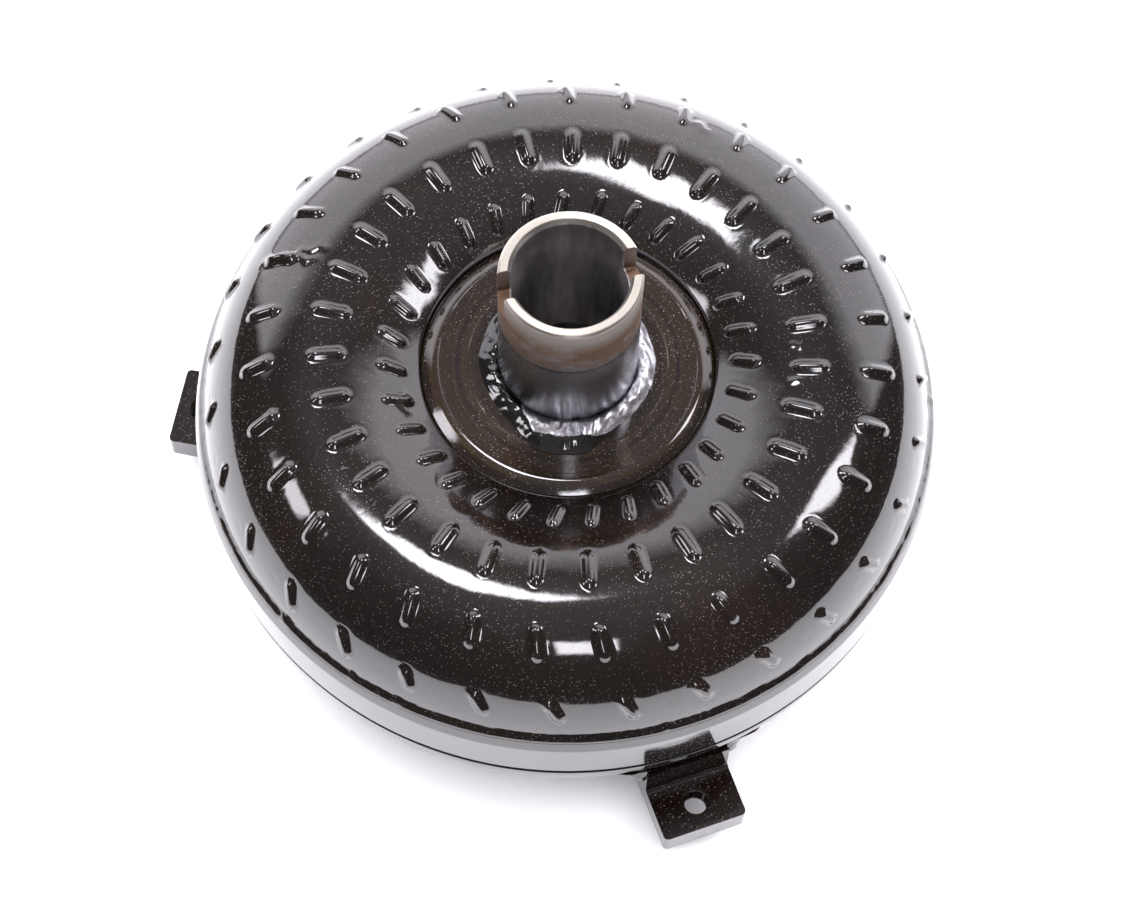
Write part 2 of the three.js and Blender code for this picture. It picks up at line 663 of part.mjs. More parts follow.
rollerAngles.forEach((angle, i) => {
  const rollerShape = rod(ROLLER_R, CAM_LOW + 1, CAM_HIGH - 1, 10);
  const roller = addPart(`clutch_roller_${i + 1}`, rollerShape, HARD_STEEL);
  roller.position.set(...polar(ROLLER_CIRCLE_R, angle), 0);
  const spring = addPart(`clutch_spring_${i + 1}`, foldedSpring(), PRESSED_STEEL);
  spring.position.set(...polar(SPRING_CIRCLE_R, angle + 8.2), 0);
  spring.rotation.z = (angle + 13) * DEG;
});

const retainerInner = RACE_R + 0.7;
const frontRetainer = ring(retainerInner, CAM_R, RETAINER_LOW, CAM_LOW - GAP, COARSE);
const rearRetainer = ring(retainerInner, CAM_R, CAM_HIGH + GAP, RETAINER_HIGH, COARSE);
addPart("clutch_front_retainer", frontRetainer, PRESSED_STEEL);
addPart("clutch_rear_retainer", rearRetainer, PRESSED_STEEL);

// The snap ring is a C: two concentric arcs joined at its open ends.
const snapInner = [];
const snapOuter = [];
const snapSteps = 18;
for (let i = 0; i <= snapSteps; i++) {
  const angle = SNAP_RING.gap / 2 + ((360 - SNAP_RING.gap) * i) / snapSteps;
  snapOuter.push(polar(SNAP_RING.outer, angle));
  snapInner.unshift(polar(SNAP_RING.inner, angle));
}
const snapRing = extruded([...snapOuter, ...snapInner], SNAP_RING.low, SNAP_RING.high);
addPart("stator_snap_ring", snapRing, HARD_STEEL);

const endCap = ring(STATOR_CAP.inner, STATOR_CAP.outer, STATOR_HIGH + GAP, STATOR_CAP.high, COARSE);
addPart("stator_end_cap", endCap, CAST_ALUMINIUM);

const raceProfile = [
  [0, STATOR_LOW],
  [RACE_R, STATOR_LOW],
  [RACE_R, RACE_TOP],
  [0, RACE_TOP],
];
const raceSpline = solidOf(extruded(splineOutline(RACE_SPLINE), STATOR_LOW - 4, RACE_TOP + 4));
const raceSolid = solidOf(turned(raceProfile, COARSE));
addPart("stator_inner_race", geometryOf(raceSolid.subtract(raceSpline)), HARD_STEEL);

export default converter;
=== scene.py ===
"""Torque converter: the looks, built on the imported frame. Profiles are in millimetres, objects in metres."""

import json
import math

import bmesh
import bpy
import numpy as np
from mathutils import Matrix, Vector, noise


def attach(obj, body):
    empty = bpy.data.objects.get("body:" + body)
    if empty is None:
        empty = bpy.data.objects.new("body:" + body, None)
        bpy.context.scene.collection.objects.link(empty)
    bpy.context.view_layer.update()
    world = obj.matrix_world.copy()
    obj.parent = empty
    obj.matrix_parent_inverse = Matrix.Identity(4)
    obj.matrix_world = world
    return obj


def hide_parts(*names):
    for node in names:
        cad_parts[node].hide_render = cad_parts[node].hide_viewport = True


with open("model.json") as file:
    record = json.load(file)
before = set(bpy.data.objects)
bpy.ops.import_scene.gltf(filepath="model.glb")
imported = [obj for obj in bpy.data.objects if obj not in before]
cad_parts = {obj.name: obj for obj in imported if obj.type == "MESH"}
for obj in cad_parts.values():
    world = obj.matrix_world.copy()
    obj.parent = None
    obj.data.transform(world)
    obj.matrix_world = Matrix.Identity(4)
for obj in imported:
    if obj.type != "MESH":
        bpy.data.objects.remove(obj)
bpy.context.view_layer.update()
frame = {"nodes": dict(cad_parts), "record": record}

MM = 0.001

# ---------------------------------------------------------------- driving dimensions, mm and degrees
TORUS_R, TORUS_Z = 88, 72
PUMP_OUT, PUMP_IN, PUMP_RISE = 40, 58, 43.8
PUMP_WALL = 3
JOGGLE_R = 51.3
FLANGE_FOOT, FLANGE_TOP, FLANGE_R = 99, 107, 50.3
HUB_R, HUB_BORE_R, HUB_TOP = 23.81, 19.45, 167
SLOT_WIDTH, SLOT_DEPTH, SLOT_TURN = 10.3, 12, -7.2
RIM_R, RIM_TOP, RIM_FOOT, SKIRT_Z = 130.3, 80, 57.4, 60
SHOULDER, SHOULDER_R, SHOULDER_Z = 22, 129.9, 53.6
FACE_R, FACE_Z, CORNER, CONE_ANGLE = 105.4, 21, 14, 33
DISH_R, DISH_Z, COVER_WALL = 58, 17, 3.2
PILOT_R, PILOT_TOP, SPIGOT_R = 21.63, 16.7, 18
LUG_TURNS = (-90, 30, 150)
LUG_WIDTH, LUG_TOP, LUG_FOOT = 30.5, 22, 12
LUG_INNER, LUG_OUTER, LUG_FACE, LUG_RISE = 108, 146.5, 127, 36
LUG_WELD_WIDTH, LUG_WELD_LOW, LUG_WELD_HIGH = 11, 25, 47
BOLT_R, BOLT_HOLE_R = 136.5, 4.3
SHADE_SIDE_TURN = 143.6  # the turn about which one side of the hub weld is coloured like black paint, as painted shade

PUMP_BLADES, PUMP_PHASE = 31, 80.65
SWEEP, SWEEP_SPAN = 4.6, 34
CAMERA_AZIMUTH = -21.4
FLOOR_HALF = 900
PAINT_IOR = 1.7
RNG = np.random.default_rng(31)


# ---------------------------------------------------------------- outlines in the r-z plane
def arc(r, z, wide, tall, start, end, steps):
    """Points of an elliptic arc, angles in degrees."""
    angles = np.radians(np.linspace(start, end, steps + 1))
    return [(r + wide * math.cos(a), z + tall * math.sin(a)) for a in angles]


def rounded(corners, steps=5):
    """A closed outline whose corners (r, z, radius) are replaced by arcs."""
    outline = []
    count = len(corners)
    for i, (r, z, radius) in enumerate(corners):
        here = np.array((r, z), float)
        if radius == 0:
            outline.append(tuple(here))
            continue
        before = np.array(corners[i - 1][:2], float) - here
        after = np.array(corners[(i + 1) % count][:2], float) - here
        before /= np.linalg.norm(before)
        after /= np.linalg.norm(after)
        half = math.acos(float(np.clip(before @ after, -1, 1))) / 2
        reach = radius / math.tan(half)
        middle = here + (before + after) / np.linalg.norm(before + after) * radius / math.sin(half)
        first, last = here + before * reach, here + after * reach
        from_angle = math.atan2(*(first - middle)[::-1])
        to_angle = math.atan2(*(last - middle)[::-1])
        turn = (to_angle - from_angle + math.pi) % (2 * math.pi) - math.pi
        for k in range(steps + 1):
            a = from_angle + turn * k / steps
            outline.append((middle[0] + radius * math.cos(a), middle[1] + radius * math.sin(a)))
    return outline


def spaced(points, step):
    """The same line with points at even steps of length."""
    points = np.array(points, float)
    lengths = np.r_[0, np.cumsum(np.linalg.norm(np.diff(points, axis=0), axis=1))]
    count = max(2, int(round(lengths[-1] / step)) + 1)
    at = np.linspace(0, lengths[-1], count)
    return np.stack([np.interp(at, lengths, points[:, 0]), np.interp(at, lengths, points[:, 1])], 1)


def inner_angle(radius, half_width):
    return math.degrees(math.acos((radius - TORUS_R) / half_width))


# ---------------------------------------------------------------- meshes
def mesh_object(name, verts, faces, sharp=38):
    """A mesh from points in millimetres, shaded smooth except at edges sharper than an angle."""
    mesh = bpy.data.meshes.new(name)
    mesh.from_pydata((np.asarray(verts, float) * MM).tolist(), [], [list(map(int, f)) for f in faces])
    build = bmesh.new()
    build.from_mesh(mesh)
    bmesh.ops.remove_doubles(build, verts=build.verts, dist=2e-7)
    bmesh.ops.recalc_face_normals(build, faces=build.faces)
    build.to_mesh(mesh)
    build.free()
    mesh.shade_smooth()
    mesh.set_sharp_from_angle(angle=math.radians(sharp))
    piece = bpy.data.objects.new(name, mesh)
    bpy.context.scene.collection.objects.link(piece)
    return piece


def grid_faces(rows, columns, wrap_rows, wrap_columns):
    faces = []
    for i in range(rows if wrap_rows else rows - 1):
        below, above = i * columns, ((i + 1) % rows) * columns
        for j in range(columns if wrap_columns else columns - 1):
            k = (j + 1) % columns
            faces.append((below + j, below + k, above + k, above + j))
    return faces


def turned(name, outline, columns=192, sharp=38):
    """A solid of revolution. The outline closes on itself, or starts and ends on the axis."""
    outline = np.array(outline, float)
    angles = np.linspace(0, 2 * math.pi, columns, endpoint=False)
    radius, height = outline[:, 0][:, None], outline[:, 1][:, None]
    grid = np.stack([radius * np.cos(angles), radius * np.sin(angles), height + 0 * angles], -1)
    on_axis = outline[0, 0] < 1e-6
    faces = grid_faces(len(outline), columns, not on_axis, True)
    return mesh_object(name, grid.reshape(-1, 3), faces, sharp)


def extruded(name, outline, low, high, sharp=30):
    """A flat outline in x-y, pulled up from low to high."""
    count = len(outline)
    verts = [(x, y, low) for x, y in outline] + [(x, y, high) for x, y in outline]
    sides = [(i, (i + 1) % count, count + (i + 1) % count, count + i) for i in range(count)]
    return mesh_object(name, verts, sides + [tuple(range(count)), tuple(range(count, 2 * count))], sharp)


def turn_mesh(piece, degrees, axis="Z"):
    piece.data.transform(Matrix.Rotation(math.radians(degrees), 4, axis))
    return piece


def combine(piece, operation, *others):
    """Joins to a piece, or cuts from it, other pieces, which are then gone."""
    for other in others:
        shade_reach = piece.modifiers.new("shade_reach", "BOOLEAN")
        shade_reach.operation = operation
        shade_reach.solver = "EXACT"
        shade_reach.object = other
        apply_modifiers(piece)
        bpy.data.objects.remove(other)
    return piece


def apply_modifiers(piece):
    bpy.context.view_layer.update()
    graph = bpy.context.evaluated_depsgraph_get()
    mesh = bpy.data.meshes.new_from_object(piece.evaluated_get(graph))
    piece.modifiers.clear()
    piece.data = mesh
    return piece


def eased(piece, width, segments=2, angle=35):
    """Breaks a piece's sharp edges with a small round."""
    bevel = piece.modifiers.new("edges", "BEVEL")
    bevel.width = width * MM
    bevel.segments = segments
    bevel.limit_method = "ANGLE"
    bevel.angle_limit = math.radians(angle)
    bevel.harden_normals = True
    apply_modifiers(piece)
    return piece


def place(piece, body, slot, material, *nodes):
    piece.data.materials.clear()
    piece.data.materials.append(material)
    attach(piece, body)
    if nodes:
        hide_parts(*nodes)
    return piece


# ---------------------------------------------------------------- material building
class Nodes:
    """Short names for building a node tree."""

    def __init__(self, tree):
        self.tree = tree
        tree.nodes.clear()

    def add(self, kind, **values):
        node = self.tree.nodes.new(kind)
        for name, value in values.items():
            setattr(node, name, value)
        return node

    def link(self, source, target):
        self.tree.links.new(source, target)

    def feed(self, socket, value):
        if isinstance(value, bpy.types.NodeSocket):
            self.link(value, socket)
        else:
            socket.default_value = value

    def maths(self, operation, first, second=0.0, third=0.0, clamp=False):
        node = self.add("ShaderNodeMath", operation=operation, use_clamp=clamp)
        for socket, value in zip(node.inputs, (first, second, third)):
            self.feed(socket, value)
        return node.outputs[0]

    def ramp(self, value, *stops):
        """A colour ramp through stops of (place, colour or grey)."""
        node = self.add("ShaderNodeValToRGB")
        elements = node.color_ramp.elements
        while len(elements) < len(stops):
            elements.new(0.5)
        for element, (place_at, colour) in zip(elements, stops):
            element.position = place_at
            element.color = (*colour, 1) if isinstance(colour, tuple) else (colour, colour, colour, 1)
        self.link(value, node.inputs[0])
        return node.outputs[0]

    def noise(self, coordinates, scale, detail=3.0, roughness=0.5):
        node = self.add("ShaderNodeTexNoise")
        self.link(coordinates, node.inputs["Vector"])
        node.inputs["Scale"].default_value = scale
        node.inputs["Detail"].default_value = detail
        node.inputs["Roughness"].default_value = roughness
        return node.outputs["Fac"]

    def stretched(self, coordinates, x, y, z):
        node = self.add("ShaderNodeMapping")
        self.link(coordinates, node.inputs["Vector"])
        node.inputs["Scale"].default_value = (x, y, z)
        return node.outputs[0]

    def mixed(self, factor, first, second, blend="MIX"):
        node = self.add("ShaderNodeMix", data_type="RGBA", blend_type=blend)
        self.feed(node.inputs[0], factor)
        for socket, value in ((node.inputs[6], first), (node.inputs[7], second)):
            self.feed(socket, (*value, 1) if isinstance(value, tuple) else value)
        return node.outputs[2]

    def cylindrical(self):
        """Object coordinates, and the radius, height and turn about the shaft as one vector."""
        here = self.add("ShaderNodeTexCoord").outputs["Object"]
        split = self.add("ShaderNodeSeparateXYZ")
        self.link(here, split.inputs[0])
        x, y, z = split.outputs
        squares = self.maths("ADD", self.maths("MULTIPLY", x, x), self.maths("MULTIPLY", y, y))
        radius = self.maths("SQRT", squares)
        turn = self.maths("ARCTAN2", y, x)
        joined = self.add("ShaderNodeCombineXYZ")
        for socket, value in zip(joined.inputs, (radius, z, turn)):
            self.link(value, socket)
        return here, joined.outputs[0], radius, z, turn

    def bump(self, height, strength, distance, normal=None):
        node = self.add("ShaderNodeBump")
        node.inputs["Strength"].default_value = strength
        node.inputs["Distance"].default_value = distance
        self.link(height, node.inputs["Height"])
        if normal is not None:
            self.link(normal, node.inputs["Normal"])
        return node.outputs[0]


def new_material(name):
    material = bpy.data.materials.new(name)
    material.use_nodes = True
    nodes = Nodes(material.node_tree)
    shader = nodes.add("ShaderNodeBsdfPrincipled")
    output = nodes.add("ShaderNodeOutputMaterial")
    nodes.link(shader.outputs[0], output.inputs[0])
    return material, nodes, shader


def paint(name, rings=0.0, film=False):
    """Gloss black enamel with fine pale dust in it, and turning rings and a brown film where asked."""
    material, nodes, shader = new_material(name)
    here, round_here, _radius, _height, _turn = nodes.cylindrical()
    cast = nodes.noise(here, 14, 4, 0.6)
    base = nodes.ramp(cast, (0.35, (0.0011, 0.0006, 0.0005)), (0.7, (0.0052, 0.0026, 0.0016)))
    circles = nodes.stretched(round_here, 1, 1, 0)
    if film:
        stripes = nodes.ramp(nodes.noise(circles, 420, 3, 0.6), (0.42, 0.1), (0.62, 1.0))
        share = nodes.maths("MULTIPLY", stripes, nodes.ramp(cast, (0.3, 0.2), (0.6, 1.0)))
        base = nodes.mixed(share, base, (0.017, 0.010, 0.004))

    specks = nodes.add("ShaderNodeTexVoronoi", voronoi_dimensions="3D")
    nodes.link(here, specks.inputs["Vector"])
    specks.inputs["Scale"].default_value = 1450
    lottery = nodes.add("ShaderNodeSeparateColor")
    nodes.link(specks.outputs["Color"], lottery.inputs[0])
    reach = nodes.maths("MULTIPLY_ADD", lottery.outputs[0], 0.46, -0.13)
    crowd = nodes.ramp(nodes.noise(here, 26, 3, 0.65), (0.38, 0.65), (0.6, 1.0))
    reach = nodes.maths("MULTIPLY", reach, crowd)
    dot = nodes.maths("LESS_THAN", specks.outputs["Distance"], reach)
    colour = nodes.mixed(dot, base, (0.056, 0.045, 0.041))
    nodes.link(colour, shader.inputs["Base Color"])

    smears = nodes.noise(here, 34, 4, 0.6)
    gloss = nodes.ramp(smears, (0.35, 0.04), (0.75, 0.09))
    rough = nodes.maths("ADD", gloss, nodes.maths("MULTIPLY", dot, 0.22))
    nodes.link(rough, shader.inputs["Roughness"])
    shader.inputs["IOR"].default_value = PAINT_IOR
    shader.inputs["Coat Weight"].default_value = 0.12
    shader.inputs["Coat Roughness"].default_value = 0.24

    surface = nodes.bump(nodes.noise(here, 55, 2, 0.5), 0.3, 0.0004)
    surface = nodes.bump(nodes.noise(here, 260, 2, 0.5), 0.12, 0.0002, surface)
    surface = nodes.bump(dot, 0.3, 0.0001, surface)
    if rings:
        surface = nodes.bump(nodes.noise(circles, 1100, 2, 0.6), rings, 0.0001, surface)
    nodes.link(surface, shader.inputs["Normal"])
    return material


def steel(name, light, dark, roughness, marks=0.3, along_shaft=False):
    """Bare steel with tool marks that run round the shaft, or along it, and a little stain."""
    material, nodes, shader = new_material(name)
    here, round_here, _radius, _height, _turn = nodes.cylindrical()
    stain = nodes.noise(here, 70, 5, 0.65)
    colour = nodes.ramp(stain, (0.35, dark), (0.62, light))
    nodes.link(colour, shader.inputs["Base Color"])
    shader.inputs["Metallic"].default_value = 1.0
    squash = (60, 1, 12) if along_shaft else (1, 1, 0.004)
    fine = nodes.noise(nodes.stretched(round_here, *squash), 1500, 3, 0.7)
    rough = nodes.maths("MULTIPLY_ADD", fine, 0.25, roughness - 0.1)
    nodes.link(nodes.maths("MULTIPLY_ADD", stain, 0.12, rough), shader.inputs["Roughness"])
    surface = nodes.bump(fine, marks, 0.00008)
    surface = nodes.bump(stain, 0.12, 0.0002, surface)
    nodes.link(surface, shader.inputs["Normal"])
    return material


def hub_steel():
    """The hub's ground steel: pale end face, brown heat stain round the top, polish below, grey bore."""
    material, nodes, shader = new_material("hub_steel")
    here, round_here, radius, height, _turn = nodes.cylindrical()
    blotch = nodes.noise(nodes.stretched(here, 1, 1, 1.6), 75, 5, 0.7)
    level = nodes.maths("ADD", height, nodes.maths("MULTIPLY_ADD", blotch, 0.002, -0.001))
    share = nodes.maths("DIVIDE", nodes.maths("SUBTRACT", level, 0.107), 0.060)
    polish = nodes.ramp(share, (0.0, (0.06, 0.058, 0.06)), (0.1, (0.46, 0.46, 0.49)),
                        (0.585, (0.60, 0.60, 0.63)),
                        (0.6, (0.13, 0.11, 0.10)), (0.615, (0.42, 0.39, 0.37)), (0.85, (0.42, 0.39, 0.36)),
                        (0.93, (0.50, 0.47, 0.42)))
    band = nodes.ramp(share, (0.6, 0.0), (0.64, 0.8), (0.80, 1.0), (0.93, 0.15), (0.96, 0.0))
    patches = nodes.noise(nodes.stretched(here, 1, 1, 1.5), 55, 6, 0.75)
    patchy = nodes.ramp(patches, (0.32, 0.15), (0.5, 1.0))
    stain = nodes.maths("MULTIPLY", band, patchy)
    colour = nodes.mixed(nodes.maths("MULTIPLY", stain, 0.9), polish, (0.17, 0.092, 0.05))
    inside = nodes.maths("LESS_THAN", radius, (HUB_BORE_R + 0.4) * MM)
    streak = nodes.noise(nodes.stretched(round_here, 1, 20, 3), 1.6, 5, 0.7)
    bore = nodes.ramp(streak, (0.3, (0.32, 0.30, 0.295)), (0.7, (0.66, 0.64, 0.64)))
    colour = nodes.mixed(inside, colour, bore)
    face = nodes.maths("GREATER_THAN", height, (HUB_TOP - 0.25) * MM)
    colour = nodes.mixed(face, colour, (0.55, 0.52, 0.45))
    nodes.link(colour, shader.inputs["Base Color"])
    shader.inputs["Metallic"].default_value = 1.0
    fine = nodes.noise(nodes.stretched(round_here, 1, 1, 0.003), 2400, 3, 0.75)
    base = nodes.ramp(share, (0.0, 0.18), (0.59, 0.18), (0.62, 0.27))
    rough = nodes.maths("MULTIPLY_ADD", stain, 0.16, nodes.maths("MULTIPLY_ADD", fine, 0.1, base))
    rough = nodes.maths("MAXIMUM", rough, nodes.maths("MULTIPLY", inside, 0.4))
    rough = nodes.maths("MAXIMUM", rough, nodes.maths("MULTIPLY", face, 0.42))
    nodes.link(rough, shader.inputs["Roughness"])
    shader.inputs["Anisotropic"].default_value = 0.6
    shader.inputs["Anisotropic Rotation"].default_value = 0.25
    round_shaft = nodes.add("ShaderNodeTangent", direction_type="RADIAL", axis="Z")
    nodes.link(round_shaft.outputs[0], shader.inputs["Tangent"])
    surface = nodes.bump(fine, 0.3, 0.00006)
    surface = nodes.bump(blotch, 0.12, 0.0003, surface)
    nodes.link(surface, shader.inputs["Normal"])
    return material


def weld_steel(name, bright_to, shade_side=None):
    """A bright weld whose outer edge is under black paint; one side, if asked, is coloured like black paint
    too, as painted shade.
    """
    material, nodes, shader = new_material(name)
    here, round_here, radius, _height, turn = nodes.cylindrical()
    wander = nodes.noise(here, 120, 4, 0.6)
    edge = nodes.maths("MULTIPLY_ADD", wander, 0.004, bright_to * MM - 0.002)
    # painted shade: on the side facing the given turn the paint edge is pulled in, so that side of the weld is
    # coloured dark like the paint
    if shade_side is not None:
        toward_shade = nodes.maths("COSINE", nodes.maths("SUBTRACT", turn, math.radians(shade_side)))
        shade_reach = nodes.maths("MULTIPLY", nodes.maths("ADD", toward_shade, -0.1), 0.02)
        edge = nodes.maths("SUBTRACT", edge, nodes.maths("MAXIMUM", shade_reach, 0.0))
    # mask: real black paint over the outer edge, and painted shade over one side
    paint_and_shade = nodes.maths("MULTIPLY", nodes.maths("SUBTRACT", radius, edge), 3000, clamp=True)
    tone = nodes.noise(nodes.stretched(round_here, 1, 1, 0.02), 900, 4, 0.7)
    bare = nodes.ramp(tone, (0.3, (0.22, 0.21, 0.22)), (0.6, (0.62, 0.62, 0.65)))
    colour = nodes.mixed(paint_and_shade, bare, (0.001, 0.0008, 0.0007))
    nodes.link(colour, shader.inputs["Base Color"])
    nodes.link(nodes.maths("SUBTRACT", 1.0, paint_and_shade), shader.inputs["Metallic"])
    shader.inputs["IOR"].default_value = PAINT_IOR
    nodes.link(nodes.ramp(paint_and_shade, (0.0, 0.3), (1.0, 0.07)), shader.inputs["Roughness"])
    surface = nodes.bump(tone, 0.06, 0.0003)
    surface = nodes.bump(wander, 0.08, 0.0006, surface)
    nodes.link(surface, shader.inputs["Normal"])
    return material


BLACK_PAINT = paint("black_paint")
RING_PAINT = paint("black_paint_turned", 0.1, True)
RIM_PAINT = paint("black_paint_rim", 0.12)
HUB_STEEL = hub_steel()
# the hub weld's one dark side is painted shade
HUB_WELD = weld_steel("hub_weld_steel", 29.8, SHADE_SIDE_TURN)
PILOT_WELD = weld_steel("pilot_weld_steel", 24.5)
PILOT_STEEL = steel("pilot_steel", (0.62, 0.58, 0.52), (0.38, 0.34, 0.3), 0.26)
PRESSED_STEEL = steel("pressed_steel", (0.42, 0.41, 0.40), (0.24, 0.23, 0.22), 0.36, 0.2, along_shaft=True)
HARD_STEEL = steel("hard_steel", (0.58, 0.57, 0.56), (0.34, 0.33, 0.32), 0.22)
ALUMINIUM = steel("cast_aluminium", (0.72, 0.72, 0.72), (0.5, 0.5, 0.5), 0.42, 0.15, along_shaft=True)
BRONZE = steel("bronze", (0.62, 0.42, 0.18), (0.36, 0.22, 0.09), 0.34)


# ---------------------------------------------------------------- pump shell with its dimples
def sweep_at(radius):
    """How far round the blades, and the dimples over them, lean at a radius, in degrees."""
    return SWEEP * ((radius - TORUS_R) / SWEEP_SPAN) ** 2


class DimpleRing:
    """One ring of raised, pill-shaped dimples: its radius, and each one's length, width, height and slant."""

    def __init__(self, radius, straight, half_width, height, slant):
        self.radius = radius
        self.straight = straight
        self.half_width = half_width
        self.height = height
        self.slant = slant


DIMPLE_RINGS = (
    DimpleRing(60.0, 6.6, 1.95, 1.3, -14),
    DimpleRing(82.0, 8.0, 2.35, 1.5, 1),
    DimpleRing(106.4, 7.8, 2.4, 1.5, 10),
    DimpleRing(123.2, 6.2, 2.2, 1.45, 30),
)


def dimple_height(ring, across, along, size):
    """Height of the surface over a dimple's spine, with a slight hollow round its foot."""
    distance = np.hypot(np.maximum(np.abs(along) - ring.straight / 2 * size, 0), across)
    share = np.clip(distance / (1.15 * ring.half_width), 0, 1)
    moat = -0.06 * np.exp(-(((distance - 1.3 * ring.half_width) / 0.8) ** 2))
    return ring.height * (1 - share ** 2) ** 1.6 + moat


def pump_outline():
    """The shell's outer line, from beside the flange over the crown to the skirt."""
    line = [(FLANGE_R + 0.15, FLANGE_FOOT - 0.3), (FLANGE_R + 0.15, FLANGE_FOOT + 4)]
    line += arc(TORUS_R, TORUS_Z, PUMP_IN, PUMP_RISE, inner_angle(FLANGE_R + 0.3, PUMP_IN), 90, 60)
    line += arc(TORUS_R, TORUS_Z, PUMP_OUT, PUMP_RISE, 90, 0, 90)[1:]
    return spaced(line, 0.92)


def pump_inside():
    joggle = JOGGLE_R + PUMP_WALL
    land = FLANGE_FOOT - 0.3
    wide_in, wide_out, rise = PUMP_IN - PUMP_WALL, PUMP_OUT - PUMP_WALL, PUMP_RISE - PUMP_WALL
    line = [(TORUS_R + PUMP_OUT, SKIRT_Z), (TORUS_R + wide_out, SKIRT_Z)]
    line += arc(TORUS_R, TORUS_Z, wide_out, rise, 0, 90, 8)
    line += arc(TORUS_R, TORUS_Z, wide_in, rise, 90, inner_angle(joggle, wide_in), 4)[1:]
    line += [(joggle, land - PUMP_WALL), (40, land - PUMP_WALL), (40, land)]
    return np.array(line)


def paint_lumps(radius, turn):
    """A few runs and lumps in the thick paint: (radius, turn, length, width, height, direction)."""
    total = np.zeros(np.broadcast(radius, turn).shape)
    lumps = (
        (104.0, 139.5, 17, 3.2, 0.9, 8),
        (98.5, 137.0, 12, 2.2, 0.7, 30),
        (103.0, 43.0, 8, 3.6, 0.9, 75),
        (77.5, -18.0, 4.5, 1.2, 0.5, 20),
        (77.5, -28.0, 3.5, 1.6, 0.5, 60),
        (58.0, 178.0, 9, 2.6, 0.8, 70),
    )
    for centre_r, centre_turn, length, width, height, lean in lumps:
        outwards = radius - centre_r
        sideways = np.radians((turn - centre_turn + 180) % 360 - 180) * centre_r
        lean = math.radians(lean)
        along = outwards * math.cos(lean) + sideways * math.sin(lean)
        across = sideways * math.cos(lean) - outwards * math.sin(lean)
        across = across + 0.8 * np.sin(along * 1.1)
        total = total + height * np.exp(-((2 * along / length) ** 4) - (2 * across / width) ** 2)
    return total


def nicks(radius, turn):
    """A small three-toed nick beside each of the outermost dimples."""
    total = np.zeros(np.broadcast(radius, turn).shape)
    for k in range(PUMP_BLADES):
        centre_r = 123.4 + 0.5 * math.sin(5 * k)
        centre_turn = PUMP_PHASE + sweep_at(123.2) + k * 360 / PUMP_BLADES - 3.6 + 0.4 * math.sin(3 * k)
        outwards = (radius - centre_r) * 1.9
        sideways = np.radians((turn - centre_turn + 180) % 360 - 180) * centre_r
        for toe in (-42, 0, 42):
            lean = math.radians(toe + 25 * math.sin(2 * k))
            along = outwards * math.cos(lean) + sideways * math.sin(lean) - 0.9
            across = sideways * math.cos(lean) - outwards * math.sin(lean)
            total = total - 0.13 * np.exp(-((along / 0.9) ** 2) - (across / 0.4) ** 2)
    return total


def build_pump_shell():
    outside = pump_outline()
    columns_per_blade = 22
    step = np.arange(columns_per_blade) / columns_per_blade
    crowded = step - 0.58 * np.sin(2 * math.pi * step) / (2 * math.pi)
    pitch = 360 / PUMP_BLADES
    blades = np.repeat(np.arange(PUMP_BLADES), columns_per_blade)
    turns = PUMP_PHASE + (blades + np.tile(crowded, PUMP_BLADES)) * pitch

    tangent = np.gradient(outside, axis=0)
    tangent /= np.linalg.norm(tangent, axis=1)[:, None]
    normal = np.stack([-tangent[:, 1], tangent[:, 0]], 1)
    normal[normal @ np.array((0, 1.0)) < -0.2] *= -1
    lengths = np.r_[0, np.cumsum(np.linalg.norm(np.diff(outside, axis=0), axis=1))]
    over = outside[:, 0] > JOGGLE_R + 0.5
    radius, height = outside[:, 0][:, None], outside[:, 1][:, None]
    turn = turns[None, :] + sweep_at(radius)

    raised = np.zeros(turn.shape)
    for ring in DIMPLE_RINGS:
        middle = np.interp(ring.radius, outside[over][:, 0], lengths[over])
        number = np.round((turn - PUMP_PHASE - sweep_at(ring.radius)) / pitch).astype(int)
        jitter = RNG.normal(size=(PUMP_BLADES, 4))[number % PUMP_BLADES]
        spine = PUMP_PHASE + sweep_at(ring.radius) + number * pitch
        sideways = np.radians(turn - spine) * radius + 0.25 * jitter[..., 0]
        outwards = lengths[:, None] - middle + 0.3 * jitter[..., 1]
        lean = np.radians(ring.slant + 2.0 * jitter[..., 2])
        along = outwards * np.cos(lean) + sideways * np.sin(lean)
        across = sideways * np.cos(lean) - outwards * np.sin(lean)
        raised += dimple_height(ring, across, along, 1 + 0.05 * jitter[..., 3])
    raised += (paint_lumps(radius, turn) + nicks(radius, turn)) * over[:, None]
    raised *= np.clip((radius - JOGGLE_R - 0.2) / 2, 0, 1)
    raised *= np.clip((height - TORUS_Z - 6) / 8, 0, 1)

    inside = pump_inside()
    radii = np.concatenate([radius + raised * normal[:, :1], np.repeat(inside[:, :1], turn.shape[1], 1)])
    heights = np.concatenate([height + raised * normal[:, 1:], np.repeat(inside[:, 1:], turn.shape[1], 1)])
    inner_turn = turns[None, :] + np.zeros((len(inside), 1)) + sweep_at(TORUS_R + PUMP_OUT)
    around = np.radians(np.concatenate([turn, inner_turn]))
    grid = np.stack([radii * np.cos(around), radii * np.sin(around), heights], -1)
    faces = grid_faces(grid.shape[0], grid.shape[1], True, True)
    shell = mesh_object("pump_shell_dimpled", grid.reshape(-1, 3), faces, 60)
    return place(shell, "housing", "black_paint", BLACK_PAINT, "pump_shell")


